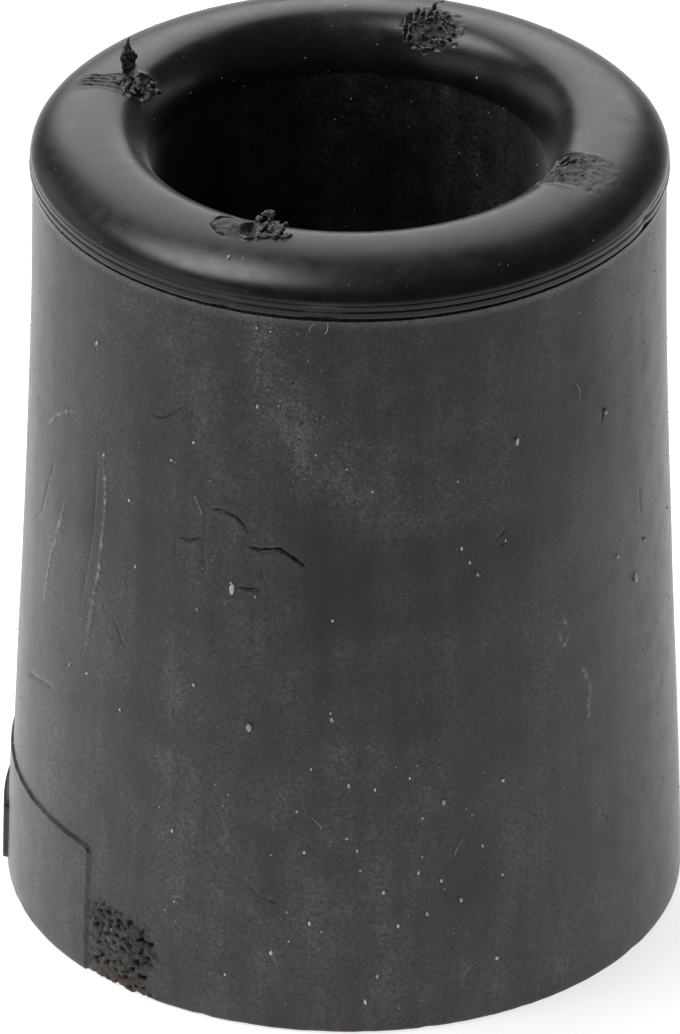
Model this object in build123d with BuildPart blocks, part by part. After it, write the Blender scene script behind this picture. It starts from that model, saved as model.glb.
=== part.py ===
"""Door buffer: one solid moulding in black rubber, screwed to a floor or wall through its base.

A slightly flared round body stands on a flat base. A rolled lip closes the top around a deep
blind bore. The fixing screw goes down that bore and through the hole in its floor. The two halves
of the mould met just under the lip and left a thin flash ring there, and a low plain panel is
raised on the flank beside the base.

Millimetres, +Z up. The origin is the centre of the base face, on the body's own axis.
"""
from build123d import *
import os

# Overall sizes
total_height = 50.0
base_radius = 20.0
neck_radius = 18.45

# Flank: it leaves the base and reaches the neck upright, with one slow S between them
base_edge_radius = 0.25
flank_base_handle = 7.4
flank_neck_handle = 16.5

# Flash ring where the mould halves met, standing proud of the neck
flash_proud = 0.15
flash_height = 0.55
flash_drop = 2.6

# Lip: outer roll from the flash ring to the crest, inner roll from the crest to the throat
crest_radius = 14.2
throat_radius = 11.55
throat_drop = 3.3
outer_roll_fullness = 0.42
inner_roll_fullness = 0.55

# Blind bore: it narrows from the throat to the floor, so that the core pin could be drawn out
bore_floor_radius = 11.0
floor_thickness = 8.0
bore_corner_radius = 1.5

# Fixing hole through the floor, for a countersunk or pan-head screw
screw_diameter = 5.0
screw_clearance = 0.5

# Raised panel on the flank beside the base, and the plain bar across it
panel_height = 8.3
panel_proud = 0.25
panel_start_angle = 148.0
panel_end_angle = 220.5
bar_bottom = 0.5
bar_top = 4.4
bar_proud = 0.25
bar_start_angle = 160.0
bar_end_angle = 184.0

# How deep the panel and the bar are seated into the flank, so that each joins it as one solid
seat_depth = 1.0

# Places that follow from the sizes above
flash_radius = neck_radius + flash_proud
flash_top = total_height - flash_drop
flash_bottom = flash_top - flash_height
outer_roll_width = flash_radius - crest_radius
inner_roll_width = crest_radius - throat_radius


def flank_outline(outward):
    """Draw the base edge and the flank, moved outward from the axis."""
    foot = base_radius + outward
    CenterArc((foot - base_edge_radius, base_edge_radius), base_edge_radius, -90, 90)
    Bezier(
        (foot, base_edge_radius),
        (foot, base_edge_radius + flank_base_handle),
        (neck_radius + outward, flash_bottom - flank_neck_handle),
        (neck_radius + outward, flash_bottom),
    )


def raised_band(outward, bottom, top, start_angle, end_angle):
    """Raise a band of the flank between two heights and two angles about the axis."""
    inner = neck_radius - seat_depth
    foot = base_radius + outward
    with BuildSketch(Plane.XZ.rotated((0, 0, start_angle))) as band:
        with BuildLine():
            flank_outline(outward)
            Polyline(
                (neck_radius + outward, flash_bottom),
                (inner, flash_bottom),
                (inner, 0),
                (foot - base_edge_radius, 0),
            )
        make_face()
        with Locations((foot, bottom)):
            Rectangle(
                2 * foot,
                top - bottom,
                align=(Align.CENTER, Align.MIN),
                mode=Mode.INTERSECT,
            )
    revolve(band.sketch, axis=Axis.Z, revolution_arc=end_angle - start_angle)


with BuildPart() as buffer_body:
    # Section of the moulding, turned once about its axis
    with BuildSketch(Plane.XZ):
        with BuildLine():
            Line((0, 0), (base_radius - base_edge_radius, 0))
            flank_outline(0)
            Polyline(
                (neck_radius, flash_bottom),
                (flash_radius, flash_bottom),
                (flash_radius, flash_top),
            )
            Bezier(
                (flash_radius, flash_top),
                (flash_radius, flash_top + flash_drop * outer_roll_fullness),
                (crest_radius + outer_roll_width * outer_roll_fullness, total_height),
                (crest_radius, total_height),
            )
            Bezier(
                (crest_radius, total_height),
                (crest_radius - inner_roll_width * inner_roll_fullness, total_height),
                (throat_radius, total_height - throat_drop * (1 - inner_roll_fullness)),
                (throat_radius, total_height - throat_drop),
            )
            Polyline(
                (throat_radius, total_height - throat_drop),
                (bore_floor_radius, floor_thickness),
                (0, floor_thickness),
                (0, 0),
            )
        make_face()
    revolve(axis=Axis.Z)

    # Rounded corner where the bore meets its floor
    bore_floor = faces().filter_by_position(Axis.Z, floor_thickness - 0.1, floor_thickness + 0.1)
    fillet(bore_floor.edges(), radius=bore_corner_radius)

    raised_band(panel_proud, 0, panel_height, panel_start_angle, panel_end_angle)
    raised_band(panel_proud + bar_proud, bar_bottom, bar_top, bar_start_angle, bar_end_angle)

    # Fixing hole
    with Locations((0, 0, floor_thickness)):
        Hole(radius=(screw_diameter + screw_clearance) / 2)

buffer_body.part.label = "buffer_body"

os.makedirs("parts", exist_ok=True)
export_step(buffer_body.part, "parts/buffer_body.step")
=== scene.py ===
"""Door buffer in moulded black rubber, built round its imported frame.

The moulding is one skin: a flat sheet that carries the section and the relief of the real surface,
turned about the axis. Torn gate stubs stand on the lip, and dust lies on the rubber.
"""
import math

import bmesh
import bpy
import numpy as np
from mathutils import Matrix, Vector, noise


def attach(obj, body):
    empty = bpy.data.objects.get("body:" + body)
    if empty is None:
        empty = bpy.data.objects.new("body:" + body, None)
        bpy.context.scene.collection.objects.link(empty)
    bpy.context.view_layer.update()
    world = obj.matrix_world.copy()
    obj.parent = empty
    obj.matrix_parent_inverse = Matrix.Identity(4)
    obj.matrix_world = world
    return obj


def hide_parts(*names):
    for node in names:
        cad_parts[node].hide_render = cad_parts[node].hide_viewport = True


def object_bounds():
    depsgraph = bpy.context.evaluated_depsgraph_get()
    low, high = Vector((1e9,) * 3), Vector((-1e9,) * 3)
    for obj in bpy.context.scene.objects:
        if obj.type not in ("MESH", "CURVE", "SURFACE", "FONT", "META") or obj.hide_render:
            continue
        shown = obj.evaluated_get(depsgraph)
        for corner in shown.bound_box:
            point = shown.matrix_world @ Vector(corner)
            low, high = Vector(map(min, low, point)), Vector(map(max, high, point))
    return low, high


bl_info = {
    "name": "Moulded Door Buffer",
    "version": (1, 0, 0),
    "blender": (4, 5, 0),
    "location": "3D View > Sidebar > Door Buffer",
    "description": "Builds a rubber door buffer with its moulding marks, torn gates and dust",
    "category": "Object",
}

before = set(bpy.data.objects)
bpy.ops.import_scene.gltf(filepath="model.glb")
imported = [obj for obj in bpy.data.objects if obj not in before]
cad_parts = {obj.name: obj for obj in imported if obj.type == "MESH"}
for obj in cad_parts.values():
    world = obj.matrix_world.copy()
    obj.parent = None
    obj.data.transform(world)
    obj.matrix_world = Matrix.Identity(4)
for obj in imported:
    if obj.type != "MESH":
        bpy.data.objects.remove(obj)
cad_low, cad_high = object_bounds()

MM = 0.001
CAD_NODE = "buffer_body"
BODY = "root"
TOTAL_HEIGHT = (cad_high.z - cad_low.z) / MM
BASE_RADIUS = (cad_high.y - cad_low.y) / 2 / MM


def linear(hex_colour):
    """Linear RGBA of an sRGB hex value."""
    parts = [int(hex_colour[i : i + 2], 16) / 255 for i in (1, 3, 5)]
    return [c / 12.92 if c <= 0.04045 else ((c + 0.055) / 1.055) ** 2.4 for c in parts] + [1.0]


# ---------------------------------------------------------------- settings


def metres(name, description, default):
    """Setting that holds a length in metres."""
    return bpy.props.FloatProperty(
        name=name, description=description, default=default, unit="LENGTH"
    )


def number(name, description, default):
    """Setting that holds a plain number."""
    return bpy.props.FloatProperty(name=name, description=description, default=default)


def whole(name, description, default):
    """Setting that holds a whole number."""
    return bpy.props.IntProperty(name=name, description=description, default=default)


def degrees(name, description, default):
    """Setting that holds an angle, given in degrees."""
    return bpy.props.FloatProperty(
        name=name, description=description, default=math.radians(default), subtype="ANGLE"
    )


def paint(name, description, hex_colour):
    """Setting that holds a colour."""
    return bpy.props.FloatVectorProperty(
        name=name, description=description, size=4, subtype="COLOR",
        default=linear(hex_colour), min=0, max=1,
    )


class MouldingSettings(bpy.types.PropertyGroup):
    """Sizes of the moulding's section and of its uneven surface."""

    neck_radius: metres("Neck radius", "Flank radius under the flash ring", 0.01845)
    flash_proud: metres("Flash proud", "How far the flash ring stands out", 0.00015)
    flash_height: metres("Flash height", "Height of the flash ring", 0.00055)
    flash_drop: metres("Flash drop", "From the crest down to the flash ring", 0.0026)
    crest_radius: metres("Crest radius", "Radius of the lip's highest circle", 0.0142)
    throat_radius: metres("Throat radius", "Radius of the bore's mouth", 0.01155)
    throat_drop: metres("Throat drop", "From the crest down to the throat", 0.0033)
    floor_radius: metres("Bore floor radius", "Radius of the bore at its floor", 0.011)
    floor_thickness: metres("Floor thickness", "Rubber under the bore", 0.008)
    hole_radius: metres("Screw hole radius", "Radius of the fixing hole", 0.00275)
    columns: whole("Columns", "Faces round the moulding before refining", 204)
    unevenness: metres("Unevenness", "Depth of the slow waves in the moulded face", 0.00009)
    wave_size: metres("Wave size", "Width of the slow waves", 0.009)
    grain_depth: metres("Grain depth", "Depth of the pebbling that geometry carries", 0.000012)
    grain_size: metres("Grain size", "Width of that pebbling", 0.0011)
    seed: whole("Seed", "Seed of the waves", 7)


class GateSettings(bpy.types.PropertyGroup):
    """Where the rubber was torn from its feeds, and how much was left."""

    first_angle: degrees("First gate", "Angle of the first gate", -112)
    voxel: metres("Detail", "Finest detail of a stub", 0.000055)
    ragged: metres("Ragged", "Depth of the torn surface's relief", 0.00011)
    seed: whole("Seed", "Seed of the crumbs", 3)


class DustSettings(bpy.types.PropertyGroup):
    """Dust that lies on the rubber."""

    crumb_density: number("Crumb density", "Pale crumbs for each square metre", 300000.0)
    crumb_radius: metres("Crumb radius", "Radius of the largest scattered crumb", 0.00009)
    powder_density: number("Powder density", "Fine specks for each square metre", 8000000.0)
    powder_radius: metres("Powder radius", "Radius of the largest fine speck", 0.00005)
    seed: whole("Seed", "Seed of the dust", 11)


class FinishSettings(bpy.types.PropertyGroup):
    """Colours of the rubber and of what lies on it."""

    rubber: paint("Rubber", "Carbon-black rubber", "#101011")
    # Its mask also paints a highlight along the burr, and is thinned for painted darker reflections
    bloom_and_painted_light: paint("Bloom", "Pale film of wax and dust on the rubber", "#8C8C89")
    soil: paint("Soil", "Brown dirt along the base", "#43382E")
    crumbs: paint("Crumbs", "Pale dust crumbs", "#DEDEDA")
    powder: paint("Powder", "Fine grey dust", "#B4B4B0")
    floor: paint("Floor", "Pale studio floor", "#CFCFCD")


class StageSettings(bpy.types.PropertyGroup):
    """Camera, and how bright the floor is."""

    elevation: degrees("Elevation", "Camera above the horizon", 29.83)
    distance: metres("Distance", "Camera from its aim", 0.84)
    aim_height: metres("Aim height", "Height of the camera's aim", 0.02338)
    aim_side: metres("Aim side", "Aim beside the axis", -0.00044)
    roll: degrees("Roll", "Camera's turn about its view", 0.36)
    view_height: metres("View height", "Height of the view at the aim", 0.06093)
    floor_glow: number("Floor glow", "Light that the lit table gives", 0.75)


# ---------------------------------------------------------------- small tools


def add_node(tree, kind, settings=None, **links):
    """Add a node, set its own properties, and feed its inputs by name, or by i and a number."""
    node = tree.nodes.new(kind)
    for key, value in (settings or {}).items():
        setattr(node, key, value)
    for key, value in links.items():
        place = int(key[1:]) if key[0] == "i" and key[1:].isdigit() else key.replace("_", " ")
        socket = node.inputs[place]
        if isinstance(value, bpy.types.Node):
            value = value.outputs[0]
        if isinstance(value, bpy.types.NodeSocket):
            tree.links.new(value, socket)
        else:
            socket.default_value = value
    return node


def smooth(low, high, value):
    """Smooth step from 0 at low to 1 at high."""
    share = np.clip((value - low) / (high - low), 0.0, 1.0)
    return share * share * (3 - 2 * share)


def bell(offset, width):
    """Bell curve, 1 where the offset is nothing."""
    return np.exp(-((offset / width) ** 2))


def noise_at(points, size, seed=0.0):
    """Coherent noise from -1 to 1 at points in millimetres, with waves of that size."""
    shift = Vector((seed * 17.3, seed * 5.9, seed * 11.1))
    scale = 1 / size
    values = (noise.noise(Vector(p) * scale + shift) for p in points)
    return np.fromiter(values, float, len(points))


def link_object(name, mesh):
    """Put a mesh into the scene as an object at the origin."""
    made = bpy.data.objects.new(name, mesh)
    bpy.context.scene.collection.objects.link(made)
    return made


def finish_piece(piece):
    """Let a piece move with the body."""
    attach(piece, BODY)


def mesh_from(name, work):
    """Mesh with what a bmesh holds, which is freed."""
    mesh = bpy.data.meshes.new(name)
    work.to_mesh(mesh)
    work.free()
    return mesh


def applied(maker):
    """Mesh that an object's modifier makes. The modifier and the object are removed."""
    evaluated = maker.evaluated_get(bpy.context.evaluated_depsgraph_get())
    made = bpy.data.meshes.new_from_object(evaluated)
    maker.modifiers.clear()
    bpy.data.objects.remove(maker)
    return made


def points_of(mesh):
    """Vertex places of a mesh, one row each."""
    flat = np.zeros(len(mesh.vertices) * 3)
    mesh.vertices.foreach_get("co", flat)
    return flat.reshape(-1, 3)


# ---------------------------------------------------------------- the section


def straight(start, end, count):
    """Points from start towards end, without the end."""
    share = np.linspace(0, 1, count, endpoint=False)[:, None]
    return np.array(start) * (1 - share) + np.array(end) * share


def curve(start, first, second, end, count):
    """Points on a cubic Bezier curve, without its end."""
    t = np.linspace(0, 1, count, endpoint=False)[:, None]
    near = 1 - t
    return (
        near**3 * np.array(start)
        + 3 * near**2 * t * np.array(first)
        + 3 * near * t**2 * np.array(second)
        + t**3 * np.array(end)
    )


def corner(centre, radius, start_angle, end_angle, count):
    """Points on a small arc, without its end."""
    angles = np.radians(np.linspace(start_angle, end_angle, count, endpoint=False))[:, None]
    return np.array(centre) + radius * np.hstack([np.cos(angles), np.sin(angles)])


def section_points(sizes):
    """Closed section (radius, height) from the middle of the base, up the flank, into the bore."""
    edge = 0.25
    top = TOTAL_HEIGHT
    neck = sizes.neck_radius / MM
    ring = neck + sizes.flash_proud / MM
    ring_top = top - sizes.flash_drop / MM
    ring_bottom = ring_top - sizes.flash_height / MM
    land = ring - 0.025
    land_top = ring_top + 0.42
    groove = ring - 0.045
    lip = ring - 0.05
    crest, throat = sizes.crest_radius / MM, sizes.throat_radius / MM
    throat_height = top - sizes.throat_drop / MM
    floor, thick, hole = (
        size / MM for size in (sizes.floor_radius, sizes.floor_thickness, sizes.hole_radius)
    )
    bore_corner, bevel, knee = 1.5, 0.3, 34
    rise = top - land_top - 0.05
    # Under the ring the mould's halves met: a small burr, and a groove cut 0.22 mm deep
    under = neck - 0.22
    burr_foot, burr_top = ring_bottom - 0.15, ring_bottom - 0.08
    return np.vstack(
        [
            straight((hole, bevel), (hole + bevel, 0), 3),
            straight((hole + bevel, 0), (BASE_RADIUS - edge, 0), 9),
            corner((BASE_RADIUS - edge, edge), edge, -90, 0, 5),
            curve(
                (BASE_RADIUS, edge),
                (BASE_RADIUS, edge + 7.4),
                (neck, ring_bottom - 16.5),
                (neck, burr_foot),
                100,
            ),
            straight((neck, burr_foot), (neck + 0.06, burr_top), 3),
            straight((neck + 0.06, burr_top), (under, ring_bottom - 0.06), 3),
            straight((under, ring_bottom - 0.06), (under, ring_bottom + 0.13), 2),
            straight((under, ring_bottom + 0.13), (ring - 0.09, ring_bottom + 0.15), 2),
            corner((ring - 0.09, ring_bottom + 0.24), 0.09, -90, 0, 5),
            straight((ring, ring_bottom + 0.24), (ring, ring_top - 0.06), 4),
            corner((ring - 0.06, ring_top - 0.06), 0.06, 0, 70, 5),
            straight((groove, ring_top + 0.02), (groove, ring_top + 0.06), 2),
            corner((land - 0.08, ring_top + 0.14), 0.08, -80, 0, 4),
            straight((land, ring_top + 0.14), (land, land_top - 0.08), 4),
            corner((land - 0.08, land_top - 0.08), 0.08, 0, 70, 4),
            curve(
                (lip, land_top + 0.05),
                (lip, land_top + 0.05 + rise * 0.46),
                (crest + (lip - crest) * 0.46, top),
                (crest, top),
                26,
            ),
            curve(
                (crest, top),
                (crest - (crest - throat) * 0.55, top),
                (throat, top - (top - throat_height) * 0.45),
                (throat, throat_height),
                20,
            ),
            straight((throat, throat_height), (throat - 0.18, knee), 16),
            straight((throat - 0.18, knee), (floor, thick + bore_corner), 9),
            corner((floor - bore_corner, thick + bore_corner), bore_corner, 0, -90, 6),
            straight((floor - bore_corner, thick), (hole + bevel, thick), 5),
            straight((hole + bevel, thick), (hole, thick - bevel), 3),
            straight((hole, thick - bevel), (hole, bevel), 5),
        ]
    )


def section_frame(points):
    """Run along the section from the base plane, and the outward normal, at each point."""
    ahead = np.roll(points, -1, axis=0) - points
    steps = np.hypot(ahead[:, 0], ahead[:, 1])
    run = np.concatenate([[0], np.cumsum(steps)])
    foot = np.argmax(points[:, 0] > BASE_RADIUS - 0.26)
    run -= run[foot]
    ahead /= steps[:, None]
    tangent = ahead + np.roll(ahead, 1, axis=0)
    tangent /= np.hypot(tangent[:, 0], tangent[:, 1])[:, None]
    normal = np.stack([tangent[:, 1], -tangent[:, 0]], axis=1)
    return run, normal


class Section:
    """The section as functions of the run along it, closed on itself."""

    def __init__(self, sizes):
        self.points = section_points(sizes)
        self.run, self.normal = section_frame(self.points)
        self.points = np.vstack([self.points, self.points[:1]])
        self.normal = np.vstack([self.normal, self.normal[:1]])
        self.crest = self.run_at_crest()

    def at(self, run):
        """Radius, height and normal at each run."""
        values = [self.points[:, 0], self.points[:, 1], self.normal[:, 0], self.normal[:, 1]]
        return [np.interp(run, self.run, column) for column in values]

    def run_at_crest(self):
        """Run at the lip's highest circle."""
        return self.run[np.argmax(self.points[:, 1])]

    def point(self, angle, across, run, out):
        """Place in millimetres, across and out from an angle and a run."""
        radius, height, lean, rise = (float(value) for value in self.at(run))
        turned = math.radians(angle) + across / radius
        away = radius + lean * out
        return Vector((away * math.cos(turned), away * math.sin(turned), height + rise * out))


# ---------------------------------------------------------------- marks on the rubber

# Each line is (points as (angle in degrees, height in mm), width, depth, in mm), and a line with a
# negative depth stands up. Cold shuts are where two flows of rubber met without joining.
COLD_SHUTS = [
    ([(-108, 31.7), (-105.5, 31.5), (-102, 31.75), (-100, 31.4), (-97, 30.7)], 0.055, 0.26),
    ([(-115, 33.7), (-112, 33.6), (-110, 33.4), (-108.5, 33.0), (-107.5, 32.3)], 0.045, 0.17),
    ([(-121.5, 31.15), (-118.5, 31.25), (-116.5, 31.6)], 0.045, 0.15),
    ([(-109.6, 28.85), (-105.5, 28.95)], 0.045, 0.14),
    ([(-128, 38.5), (-125, 38.6), (-123, 39.1), (-120.5, 39.9)], 0.045, 0.08),
]
FLOW_MARKS = [
    ([(-116.3, 31.4), (-116, 30.0), (-116.2, 28.3)], 0.09, 0.045),
    ([(-121.6, 31.0), (-121.8, 29.2)], 0.09, 0.035),
    ([(-105.2, 31.2), (-105, 29.4), (-106.6, 27.4), (-106.8, 25.0)], 0.10, 0.04),
    ([(-98.6, 30.7), (-98.9, 28.4), (-98.4, 26.8)], 0.10, 0.03),
    ([(-114, 28.2), (-113.6, 24.0)], 0.10, 0.025),
    ([(-102.2, 27.0), (-101.6, 25.2)], 0.10, 0.02),
    ([(-94.5, 27.0), (-93, 25.4), (-90.5, 24.0)], 0.12, 0.02),
    ([(-108.5, 33.0), (-106.4, 34.6), (-105.8, 35.2)], 0.08, 0.03),
    ([(-99, 41.4), (-98.3, 40.0)], 0.06, 0.06),
]
SCRATCHES = [
    ([(-139.5, 35.6), (-138.2, 31.5), (-139.6, 26.8), (-143, 20.2)], 0.09, -0.035),
    ([(-140.8, 35.0), (-141.5, 29.0), (-145, 22.5)], 0.08, 0.03),
    ([(-150, 30.2), (-156, 24.6), (-158, 21.2)], 0.10, -0.03),
    ([(-155, 31.8), (-161, 27.2), (-166, 25.6)], 0.10, 0.04),
    ([(-147, 36.4), (-155, 34.6), (-160, 33.0)], 0.09, -0.03),
    ([(-165, 15.6), (-158, 16.4), (-152, 16.9)], 0.16, 0.07),
    ([(-107, 9.6), (-104.5, 8.8), (-101, 8.5)], 0.08, 0.05),
    ([(-104, 9.8), (-103.2, 7.6)], 0.08, 0.04),
    ([(-121.5, 7.5), (-119.5, 7.65), (-117.6, 7.5)], 0.07, -0.035),
    ([(-135.5, 24.4), (-132.5, 22.6)], 0.08, 0.04),
    ([(-132.5, 24.2), (-135.6, 22.8)], 0.08, 0.04),
    ([(-50.5, 24.6), (-49.2, 23.0), (-47.8, 23.4), (-48.6, 25.0), (-50.5, 24.6)], 0.09, -0.02),
    ([(-45, 21.6), (-42.6, 19.6), (-43.6, 17.2)], 0.12, -0.02),
    ([(-25.8, 30.4), (-25.2, 28.2)], 0.10, 0.04),
    ([(-60.5, 32.2), (-62.5, 31.6), (-61.2, 30.9)], 0.07, 0.05),
    ([(-37.2, 37.4), (-38.4, 36.4)], 0.08, 0.05),
    ([(-41, 10.9), (-38.5, 10.2)], 0.08, 0.04),
    ([(-52.6, 6.6), (-50.8, 5.6)], 0.09, 0.05),
]

# Raised panel beside the base, and the plain bar across it: angles, heights, proud, in mm
PANEL = (148.0, 220.5, -2.0, 8.3, 0.15)
BAR = (160.0, 184.0, 0.5, 4.4, 0.30)

# Patch of coarse rubber beside the panel, where the mould did not fill cleanly
COARSE_PATCH_ANGLES = (-138.8, -124.5)
COARSE_PATCH_TOP = 5.2

# Heights at the parting line: where the blasted flank ends, the polished lip starts, and the burr
# and the highest dust lie
FLANK_END, LIP_START, BURR, DUST_TOP = 46.78, 46.86, 46.77, 46.82

# Runs up to here are on the outside, and not on the wall of the screw hole
OUTSIDE_RUN = 12

# Radius in mm at which lines are laid out on the flank, and the mm in a degree there
LINE_RADIUS = 18.9
MM_PER_DEGREE = 0.33

# Radius in mm at the flash ring
NECK = 18.5

# Dips in the flash ring: angle, half width and depth in mm
NICKS = [(-94, 0.5, 0.12), (-97, 0.4, 0.08), (-113, 0.4, 0.08), (-23, 0.6, 0.1)]


def arc_gap(angle, other):
    """Signed gap from one angle to others, in degrees, the short way round."""
    return (np.asarray(other) - angle + 180) % 360 - 180


def box_distance(along, height, half_along, middle, half_height, rounding):
    """Signed distance from a box with rounded corners, negative inside."""
    out_along = np.abs(along) - half_along + rounding
    out_height = np.abs(height - middle) - half_height + rounding
    outside = np.hypot(np.maximum(out_along, 0), np.maximum(out_height, 0))
    return outside + np.minimum(np.maximum(out_along, out_height), 0) - rounding


def band_gap(angle, height, band):
    """Signed distance from the edge of a raised band, negative inside."""
    start, end, bottom, top, _ = band
    half = math.radians(end - start) / 2 * BASE_RADIUS
    along = np.radians(arc_gap((start + end) / 2, angle)) * BASE_RADIUS
    return box_distance(along, height, half, (bottom + top) / 2, (top - bottom) / 2, 0.45)


def line_distance(along, height, points):
    """Distance from a line of points, and how far along it the nearest place is, from 0 to 1."""
    best = np.full(len(along), 1e9)
    where = np.zeros(len(along))
    lengths = [math.dist(a, b) for a, b in zip(points, points[1:])]
    before = 0.0
    for (a, b), length in zip(zip(points, points[1:]), lengths):
        step = ((b[0] - a[0]) / length, (b[1] - a[1]) / length)
        share = (along - a[0]) * step[0] + (height - a[1]) * step[1]
        share = np.clip(share, 0, length)
        gap = np.hypot(along - a[0] - step[0] * share, height - a[1] - step[1] * share)
        closer = gap < best
        best = np.where(closer, gap, best)
        where = np.where(closer, (before + share) / sum(lengths), where)
        before += length
    return best, where


class Skin:
    """Places on the unrolled skin, and the relief and finish that they carry."""

    def __init__(self, section, angle, run):
        self.section = section
        self.angle = angle
        self.run = run
        self.radius, self.height, self.lean, self.rise = section.at(run)
        self.crest = section.crest
        self.on_flank = (run > 0) & (self.height < TOTAL_HEIGHT - 3) & (self.lean > 0.5)
        turned = np.radians(angle)
        self.place = np.stack(
            [self.radius * np.cos(turned), self.radius * np.sin(turned), self.height], axis=1
        )
        self.relief, self.torn, self.bloom_and_painted_light, self.soil = np.zeros((4, len(angle)))
        self.gloss = self.powder = self.crumbs = None

    def along(self, angle):
        """Millimetres round the skin from an angle."""
        return np.radians(arc_gap(angle, self.angle)) * self.radius

    def near(self, angle, height, reach):
        """Places on the flank within reach of one place, in millimetres."""
        close = np.abs(self.along(angle)) < reach
        return np.flatnonzero(self.on_flank & close & (np.abs(self.height - height) < reach))

    def line(self, points):
        """Places near a line on the flank, with their distance from it and their share along it."""
        middle = points[len(points) // 2]
        scale = math.radians(1) * LINE_RADIUS
        flat = [((a - middle[0]) * scale, h) for a, h in points]
        reach = max(math.dist(p, (0, middle[1])) for p in flat) + 1.5
        places = self.near(middle[0], middle[1], reach)
        along = arc_gap(middle[0], self.angle[places]) * scale
        gap, share = line_distance(along, self.height[places], flat)
        return places, gap, share, along

    def raise_band(self, band, wander=0.0):
        """Raise a box with rounded corners on the flank."""
        places = np.flatnonzero(self.on_flank | (np.abs(self.run) < 1.0))
        gap = band_gap(self.angle[places], self.height[places], band)
        if wander:
            gap = gap + wander * noise_at(self.place[places], 0.7, 2.0)
        self.relief[places] += band[4] * smooth(0.03, -0.04, gap)
        nibbles = 1 + 1.2 * noise_at(self.place[places], 0.5, 2.5)
        self.relief[places] -= 0.055 * nibbles * bell(gap - 0.05, 0.04)

    def cut_line(self, mark, ragged=0.5, step=0.0):
        """Cut a mark into the flank, or raise it where its depth is negative."""
        points, width, depth = mark
        places, gap, share, along = self.line(points)
        taper = np.minimum(smooth(0.0, 0.18, share), smooth(1.0, 0.82, share))
        wave = 1 + ragged * noise_at(self.place[places], 0.5, 4.0)
        gap = np.abs(gap + 0.05 * noise_at(self.place[places], 0.35, 6.0))
        mark_shape = taper * wave * bell(gap, width)
        self.relief[places] -= depth * mark_shape
        if depth < 0:
            broken = np.maximum(noise_at(self.place[places], 0.3, 7.0) + 0.35, 0)
            self.bloom_and_painted_light[places] += 0.8 * mark_shape * broken
        if step:
            middle = points[len(points) // 2][0]
            course = sorted(((a - middle) * MM_PER_DEGREE, h) for a, h in points)
            lower = self.height[places] < np.interp(along, *zip(*course))
            self.relief[places] += step * taper * lower * np.exp(-gap / 0.5)

    def coarsen_patch(self):
        """Pitted, dirty rubber beside the panel."""
        start, end = COARSE_PATCH_ANGLES
        middle = (start + end) / 2
        low = (self.height < 8) & (self.run > -1.2) & (self.run < OUTSIDE_RUN)
        along = self.along(middle)
        places = np.flatnonzero((np.abs(along) < 4) & low)
        points = self.place[places]
        edge = 0.6 * noise_at(points, 1.3, 9.0)
        half = math.radians(end - start) / 2 * BASE_RADIUS
        top = COARSE_PATCH_TOP / 2
        gap = box_distance(along[places], self.height[places], half, top - 1, top + 1, 0.8)
        inside = smooth(0.35, -0.7, gap + edge)
        lumps = noise_at(points, 0.42, 1.0) + 0.6 * noise_at(points, 0.21, 3.0)
        pits = np.maximum(noise_at(points, 0.34, 5.0), 0) ** 1.2
        self.relief[places] += inside * (0.10 * lumps - 0.75 * pits)
        self.torn[places] = np.maximum(self.torn[places], 0.6 * inside)
        self.soil[places] += 0.45 * inside * smooth(2.2, 0.2, self.height[places])

    def fray_base(self):
        """Small nicks along the base edge."""
        places = np.flatnonzero((self.run > -0.6) & (self.run < 1.4))
        points = self.place[places]
        nicks = np.maximum(noise_at(points, 1.1, 12.0) - 0.25, 0)
        fade = smooth(-0.5, 0.1, self.run[places]) * smooth(1.3, 0.2, self.run[places])
        self.relief[places] -= fade * (0.16 * nicks + 0.02 * noise_at(points, 0.5, 14.0))

    def fray_flash(self):
        """Uneven edge of the flash ring, and a few nicks in it."""
        ring = (self.height > 46.2) & (self.height < 48.2) & (self.radius > 18)
        places = np.flatnonzero(ring)
        turned = self.angle[places]
        around = np.stack([self.place[places, 0], self.place[places, 1], 0 * turned], axis=1)
        wave = noise_at(around, 3.0, 21.0) + 0.6 * noise_at(around, 0.9, 22.0)
        edge = smooth(46.7, 46.95, self.height[places]) * smooth(48.0, 47.6, self.height[places])
        self.relief[places] += edge * 0.03 * wave
        for angle, width, depth in NICKS:
            dip = bell(np.radians(arc_gap(angle, turned)) * NECK, width)
            self.relief[places] -= depth * dip * edge

    def tint(self):
        """Pale bloom, dust, gloss, brown soil; painted burr highlight and painted dark reflections.
        """
        height, angle = self.height, self.angle
        upward = self.run > 0
        flank = smooth(LIP_START, FLANK_END, height) * upward
        lip = smooth(FLANK_END, LIP_START, height) * upward * smooth(43.5, 46.5, height)
        self.gloss = lip * (1 - self.torn)
        streaks = noise_at(self.place * np.array([1, 1, 0.12]), 1.6, 31.0)
        clouds = noise_at(self.place, 7.0, 33.0)
        patches = noise_at(self.place, 2.6, 34.0)
        self.bloom_and_painted_light += flank * (0.085 + 0.06 * streaks + 0.06 * clouds + 0.05 * patches)
        smudged = np.maximum(patches, 0) * np.maximum(clouds + 0.4, 0)
        self.bloom_and_painted_light += lip * (0.014 + 0.09 * smudged) * (0.4 + 0.6 * smooth(48, 49.3, height))
        # Painted highlight: a pale line along the burr at the parting line, where its edge catches
        # the light
        burr = bell(height - BURR, 0.05)
        self.bloom_and_painted_light += 0.25 * burr * upward * (self.lean > 0)
        centre = np.interp(height, [33, 35, 37, 41, 46.5], [-82, -87, -96, -103, -108])
        spread = np.interp(height, [33, 41, 46.5], [8.0, 6.0, 5.5])
        off_band = arc_gap(0, angle - centre) / spread
        off_band = np.where(off_band < 0, off_band * 1.8, off_band)
        band = np.exp(-(off_band**2)) * smooth(31, 36, height)
        self.bloom_and_painted_light += flank * 0.10 * band
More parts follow.
